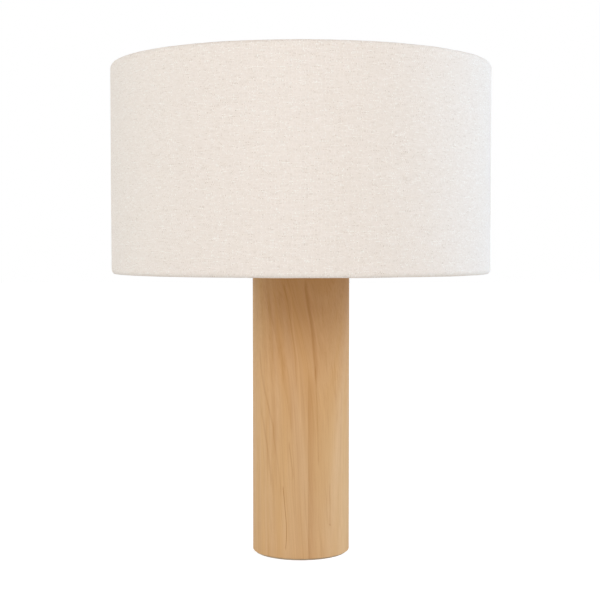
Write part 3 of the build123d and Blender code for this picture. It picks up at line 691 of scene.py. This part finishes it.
def uneven_cloth(angle, radius, height):
    """Small unevenness of a hand-covered shade, and the lap of its rear seam."""
    hem_reach = 14  # how far from an edge its unevenness goes
    edge_seed = 20  # keeps the two edges' unevenness apart
    allowance = 0.25  # keeps the outside within its size
    skin = 2.0  # how deep under the outside the lap shows
    lap_step = 0.4
    middle = (shade_bottom + shade_top) / 2

    def waves(size, count, level):
        """Unevenness of this size, with about this many waves to each radian."""
        around = Vector((math.cos(angle), math.sin(angle), 0)) * count
        return size * noise.noise(around + Vector((0, 0, level)))

    from_bottom = smoothstep(shade_bottom + hem_reach, shade_bottom, height)
    from_top = smoothstep(shade_top - hem_reach, shade_top, height)
    edge = max(from_bottom, from_top)
    level = waves(0.28, 5, math.copysign(edge_seed, height - middle))
    pucker = waves(0.10, 24, height * 0.12)
    belly = waves(0.22, 2.5, height * 0.012)
    lap = 0.0
    if radius > shade_radius - skin:
        off = off_rear(angle, shade_radius)
        rises = smoothstep(-seam_half - seam_ramp, -seam_half + seam_ramp, off)
        lap = lap_step * rises * smoothstep(seam_half + seam_cut, seam_half, off)
    return radius + edge * pucker + (1 - edge) * belly - allowance + lap, height + edge * level


def angles_with(turns, extra, radius):
    """Even steps round, and more at these distances from the middle of the rear."""
    angles = [2 * math.pi * turn / turns for turn in range(turns)]
    return sorted(angles + [math.pi / 2 + off / radius for off in extra])


def make_shade():
    """The linen, stretched over the lining and rolled round both wires."""
    gentle = (-seam_half - seam_ramp, -seam_half - 0.7, -seam_half + 0.7)
    abrupt = (seam_half - 0.3, seam_half, seam_half + seam_cut)
    angles = angles_with(360, gentle + abrupt, shade_radius)
    sheet = turned("shade_cloth", cloth_outline(), shape=uneven_cloth, angles=angles)
    placed(sheet, "shade", "linen", finishes["linen"], "shade_fabric")


def make_liner():
    """The stiff lining sheet, with the edge of its lap at the rear."""
    thickness, edge = 0.6, 0.15
    outer = high("shade_liner").x
    inner = outer - thickness
    margin = 3.8  # from the shade's edge to the lining's
    bottom, top = shade_bottom + margin, shade_top - margin
    corners = [(outer, bottom), (outer, top), (inner, top), (inner, bottom)]
    lap_half, lap_cut, lap_step = 6.0, 0.1, 0.55
    lap_ends = lap_half + 2.5

    def lapped(angle, radius, height):
        off = off_rear(angle, inner)
        rises = smoothstep(-lap_half - lap_cut, -lap_half, off)
        step = rises * smoothstep(lap_ends, lap_half - 1, off)
        inside = radius < outer - thickness / 2
        return (radius - lap_step * step if inside else radius), height

    abrupt = (-lap_half - lap_cut, -lap_half, -lap_half + 0.5)
    gentle = (lap_half - 1, lap_half + 0.7, lap_ends)
    angles = angles_with(FINE_TURNS, abrupt + gentle, inner)
    sheet = turned("liner_sheet", eased(corners, edge, steps=2), shape=lapped, angles=angles)
    placed(sheet, "shade", "liner", finishes["liner"], "shade_liner")


def make_wires():
    """The two round wires inside the hems."""
    wire, sides = 1.5, 16
    for name in ("bottom_ring_wire", "top_ring_wire"):
        height = (low(name).z + high(name).z) / 2
        radius = high(name).x - wire
        outline = arc((radius, height), (wire, wire), 0, 360 - 360 / sides, sides - 1)
        ring = turned(name.replace("_wire", ""), outline, FINE_TURNS)
        placed(ring, "shade", "white_wire", finishes["white_wire"], name)


def make_welds():
    """Beads of weld, painted over, where the three arms cross the fitter ring."""
    ring_top = high("fitter_ring").z
    beads = ((27.4, 1.0), (29.9, 1.15))  # distance from the axis, and radius
    beside = 1.4 * 0.85  # from the middle of an arm to the middle of a bead
    above = 0.15
    rough, lumps, flatness = 0.16, 1.3, 0.55
    for name, angle in (("rear", 90), ("left", 210), ("right", 330)):
        bead = bmesh.new()
        for place, size in beads:
            for side in (-1, 1):
                lump = bmesh.ops.create_icosphere(bead, subdivisions=3, radius=size)["verts"]
                for vert in lump:
                    where = vert.co * lumps + Vector((place, side, angle))
                    vert.co *= 1 + rough * noise.noise(where)
                    vert.co.z *= flatness
                middle = Vector((place, side * beside, ring_top + above))
                bmesh.ops.translate(bead, vec=middle, verts=lump)
        to_arm = Matrix.Rotation(math.radians(angle), 3, "Z")
        bmesh.ops.rotate(bead, matrix=to_arm, verts=bead.verts)
        piece = finished(f"weld_{name}", bead)
        placed(piece, "shade", "white_wire", finishes["white_wire"])


# ---------------------------------------------------------------- the lampholder
def make_skirt():
    """The skirt with the outer thread that the ring nut runs on."""
    bottom, top = low("holder_skirt").z, high("holder_skirt").z
    seat, flange_top = bottom + 5.0, bottom + 7.5
    lip_bottom = top - 2
    wall, neck, flange = 19.8, 17.7, 23.5  # outer radii
    hollow, foot, mouth = 17.0, 15.7, 15.0  # inner radii
    same = 0.1  # a radius this near to the wall's belongs to the wall
    pitch, depth = 2.5, 0.55
    edge = 0.4
    rows = 70  # up the wall, for the thread
    outline = [(foot, bottom), (neck, bottom), (neck, seat), (flange, seat), (flange, flange_top)]
    outline += [(wall, flange_top), *line((wall, flange_top), (wall, top), rows), (wall, top)]
    outline += [(mouth, top), (mouth, lip_bottom), (hollow, lip_bottom)]
    outline += [(hollow, flange_top), (foot, flange_top)]
    cut = thread(pitch, depth, flange_top + 1.0, top - 1.2, runout=1.5, sharpness=1.7)

    def outside_only(angle, radius, height):
        outside = wall - same < radius < wall + same
        return cut(angle, radius, height) if outside else (radius, height)

    skirt = turned("threaded_skirt", eased(outline, edge), TURNS, outside_only)
    placed(skirt, "base", "phenolic", finishes["phenolic"], "holder_skirt")


# the rolled thread that the bulb and its shell share
SCREW_PITCH = 3.63
SCREW_ROWS = 72  # up its height


def make_shell():
    """The thin screw shell, rolled into a round thread."""
    bottom, top = low("screw_shell").z, high("screw_shell").z
    wide, waist, opening = 13.85 + 0.3, 13.7, 10.0
    sheet, depth = 0.3, 0.6
    start = bottom + 1.0
    floor = bottom + sheet
    outer = [(wide, start), *line((wide, start), (wide, top), SCREW_ROWS), (wide, top)]
    inner = [(radius - sheet, height) for radius, height in reversed(outer)]
    outline = [(opening, bottom), (waist, bottom), *outer, *inner]
    outline += [(waist - sheet, floor), (opening, floor)]
    rolled = thread(SCREW_PITCH, depth, start, top - depth, runout=1.2)

    def above_start(angle, radius, height):
        return rolled(angle, radius, height) if height > start else (radius, height)

    shell = turned("rolled_shell", outline, TURNS, above_start)
    placed(shell, "base", "brass", finishes["brass"], "screw_shell")


# ---------------------------------------------------------------- the bulb
BULB_TURNS = 160
globe = 30.0
globe_rim = low("bulb_dome").z
globe_top = high("bulb_dome").z
globe_centre = globe_top - globe
bulb_wall = 1.2
cap_top = high("bulb_cap").z


def make_globe():
    """The opal globe, open at its lower rim."""
    dip = math.degrees(math.asin((globe_rim - globe_centre) / globe))
    inner = globe - bulb_wall
    outside = arc((0, globe_centre), (globe, globe), dip, 90, 32)
    outside[-1] = (0, globe_top)
    inside = arc((0, globe_centre), (inner, inner), dip, 90, 16)
    inside[-1] = (0, globe_top - bulb_wall)
    dome = turned("opal_globe", [*reversed(inside), *outside], BULB_TURNS)
    placed(dome, "bulb", "opal", finishes["opal"], "bulb_dome")


def make_housing():
    """The flared housing, with a fine groove where the globe meets it."""
    rim_radius = math.sqrt(globe**2 - (globe_rim - globe_centre) ** 2)
    foot_radius = 14.0
    flare_bottom = cap_top + bulb_wall
    flare_curve, flare_steps = 1.6, 24
    flare = []
    for step in range(flare_steps):
        share = step / flare_steps
        out = foot_radius + (rim_radius - foot_radius) * share**flare_curve
        flare.append((out, flare_bottom + (globe_rim - flare_bottom) * share))
    groove_radius = rim_radius - 0.45
    groove = [(rim_radius - 0.1, globe_rim - 0.45), (groove_radius, globe_rim - 0.35)]
    plug_inner, plug, plug_bottom = 12.0, 12.4, cap_top - 4
    edge = 0.3
    outline = [(plug_inner, plug_bottom), (plug, plug_bottom), (plug, cap_top)]
    outline += [(foot_radius - edge, cap_top), (foot_radius, cap_top + edge)]
    outline += [*flare, *groove, (groove_radius, globe_rim)]
    outline += [(rim_radius - bulb_wall, globe_rim), (plug_inner, cap_top + 3)]
    housing = turned("bulb_body", outline, BULB_TURNS)
    placed(housing, "bulb", "bulb_plastic", finishes["bulb_plastic"], "bulb_housing")


def make_cap():
    """The thin cap, rolled into the same thread as the shell's."""
    bottom, radius = low("bulb_cap").z, high("bulb_cap").x
    shoulder = bottom + 1.4
    inner = radius - 1.3
    depth = 0.85
    same = 0.1  # a radius this near to the cap's belongs to its outside
    turn_in = bottom + 0.9
    outline = [(11.7, bottom), (radius - 0.5, turn_in), (radius, shoulder)]
    outline += [*line((radius, shoulder), (radius, cap_top), SCREW_ROWS), (radius, cap_top)]
    outline += [(radius - 0.4, cap_top), *line((inner, cap_top), (inner, shoulder), 8)]
    outline += [(11.5, turn_in)]
    rolled = thread(SCREW_PITCH, depth, shoulder + 0.4, cap_top - 4.5, runout=1.4)

    def outside_only(angle, r, height):
        return rolled(angle, r, height) if r > radius - same else (r, height)

    cap = turned("threaded_cap", outline, TURNS, outside_only)
    placed(cap, "bulb", "bulb_metal", finishes["bulb_metal"], "bulb_cap")


make_felt()
make_column()
make_shade()
make_liner()
make_wires()
make_welds()
make_skirt()
make_shell()
make_globe()
make_housing()
make_cap()
softening = {
    "cord_bush": 0.3,
    "top_washer": 0.2,
    "holder_cap": 0.35,
    "switch_knob": 0.25,
    "shade_ring": 0.35,
    "fitter_ring": 0.3,
    "bottom_nut": 0.2,
    "base_weight": 0.5,
}
body_of = {}
for body_name, members in frame["record"]["behaviour"]["bodies"].items():
    for member in members:
        body_of[member] = body_name
for node_name, width in softening.items():
    slot = slot_of[node_name]
    placed(softened(node_name, width), body_of[node_name], slot, finishes[slot], node_name)


# ---------------------------------------------------------------- floor, light and camera
WHITE = (1, 1, 1, 1)


def emptied(owner):
    """A material's or world's node tree, ready for new nodes."""
    owner.use_nodes = True
    owner.node_tree.nodes.clear()
    return owner.node_tree


def light_path_mix(tree, shader_seen, shader_lit, *rays):
    """The first shader for these rays of Light Path, and the second for all the others."""
    path = tree.nodes.new("ShaderNodeLightPath")
    share = path.outputs[rays[0]]
    for ray in rays[1:]:
        either = tree.nodes.new("ShaderNodeMath")
        either.operation = "MAXIMUM"
        tree.links.new(share, either.inputs[0])
        tree.links.new(path.outputs[ray], either.inputs[1])
        share = either.outputs[0]
    mixer = tree.nodes.new("ShaderNodeMixShader")
    tree.links.new(share, mixer.inputs[0])
    tree.links.new(shader_lit.outputs[0], mixer.inputs[1])
    tree.links.new(shader_seen.outputs[0], mixer.inputs[2])
    return mixer


def make_world():
    """A white surround, brighter near the horizon than overhead. It is plain white where the
    camera, gloss or glass sees it."""
    horizon, overhead = 1.14, 0.15
    warm_white = (1.0, 0.945, 0.885, 1)
    world = bpy.data.worlds.new("surround")
    bpy.context.scene.world = world
    tree = emptied(world)
    seen = tree.nodes.new("ShaderNodeBackground")
    seen.inputs["Strength"].default_value = 1.0
    seen.inputs["Color"].default_value = WHITE
    direction = tree.nodes.new("ShaderNodeTexCoord")
    split = tree.nodes.new("ShaderNodeSeparateXYZ")
    tree.links.new(direction.outputs["Generated"], split.inputs[0])
    level = tree.nodes.new("ShaderNodeMapRange")
    for socket, number in zip(level.inputs[1:5], (0.0, 1.0, horizon, overhead)):
        socket.default_value = number
    tree.links.new(split.outputs["Z"], level.inputs[0])
    lit = tree.nodes.new("ShaderNodeBackground")
    lit.inputs["Color"].default_value = warm_white
    tree.links.new(level.outputs[0], lit.inputs["Strength"])
    plain_to = ("Is Camera Ray", "Is Glossy Ray", "Is Transmission Ray")
    mixer = light_path_mix(tree, seen, lit, *plain_to)
    output = tree.nodes.new("ShaderNodeOutputWorld")
    tree.links.new(mixer.outputs[0], output.inputs[0])


def make_floor():
    """A pale floor. The camera sees it nearly white, with the lamp's soft shadow on it."""
    half = 8.0
    height = -0.0002  # just clear of the felt, so that the two faces don't flicker
    bounce = (0.86, 0.84, 0.81, 1)
    glow, glow_share = 1.65, 0.5
    mesh = bpy.data.meshes.new("floor")
    corners = [(x * half, y * half, height) for x, y in ((-1, -1), (1, -1), (1, 1), (-1, 1))]
    mesh.from_pydata(corners, [], [(0, 1, 2, 3)])
    floor = bpy.data.objects.new("floor", mesh)
    bpy.context.scene.collection.objects.link(floor)
    material = bpy.data.materials.new("floor")
    tree = emptied(material)
    pale = tree.nodes.new("ShaderNodeBsdfDiffuse")
    pale.inputs["Color"].default_value = bounce
    white = tree.nodes.new("ShaderNodeEmission")
    white.inputs["Strength"].default_value = glow
    seen = tree.nodes.new("ShaderNodeMixShader")
    seen.inputs[0].default_value = glow_share
    brighter = tree.nodes.new("ShaderNodeBsdfDiffuse")
    brighter.inputs["Color"].default_value = WHITE
    tree.links.new(brighter.outputs[0], seen.inputs[1])
    tree.links.new(white.outputs[0], seen.inputs[2])
    mixer = light_path_mix(tree, seen, pale, "Is Camera Ray")
    output = tree.nodes.new("ShaderNodeOutputMaterial")
    tree.links.new(mixer.outputs[0], output.inputs[0])
    mesh.materials.append(material)


def make_lamp(name, place, width, height, power, colour):
    """A soft box at a place in metres, turned to the lamp's middle. It isn't mirrored in glossy
    pieces, which see the white surround instead."""
    middle = Vector((0, 0, 0.25))
    light = bpy.data.lights.new(name, "AREA")
    light.shape = "RECTANGLE"
    light.size = width
    light.size_y = height
    light.energy = power
    light.color = colour
    lamp = bpy.data.objects.new(name, light)
    lamp.location = place
    lamp.rotation_euler = (middle - Vector(place)).to_track_quat("-Z", "Y").to_euler()
    lamp.visible_glossy = False
    bpy.context.scene.collection.objects.link(lamp)


def make_camera():
    """The photograph's view: level with the upper half of the column, tipped down a little."""
    place = (-0.0009, -1.2177, 0.2887)
    tipped = 2.53
    frame_pixels, focal_pixels = 600, 1306.0
    sensor = 36.0
    camera = bpy.data.cameras.new("camera")
    camera.sensor_width = sensor
    camera.lens = sensor * focal_pixels / frame_pixels
    viewer = bpy.data.objects.new("camera", camera)
    viewer.location = place
    viewer.rotation_euler = (math.radians(90 - tipped), 0, 0)
    bpy.context.scene.collection.objects.link(viewer)
    bpy.context.scene.camera = viewer


make_world()
make_floor()
make_lamp("key", (-0.25, -2.5, 1.30), 1.3, 0.9, 30.3, (0.83, 0.905, 1.0))
make_lamp("left_fill", (-2.4, 0.9, 0.30), 1.2, 1.2, 25.0, (0.70, 0.88, 1.0))
make_lamp("cool_side", (2.4, 0.85, 0.95), 1.2, 1.2, 48.5, (0.53, 0.745, 1.0))
make_camera()
bpy.context.scene.view_settings.view_transform = "Standard"
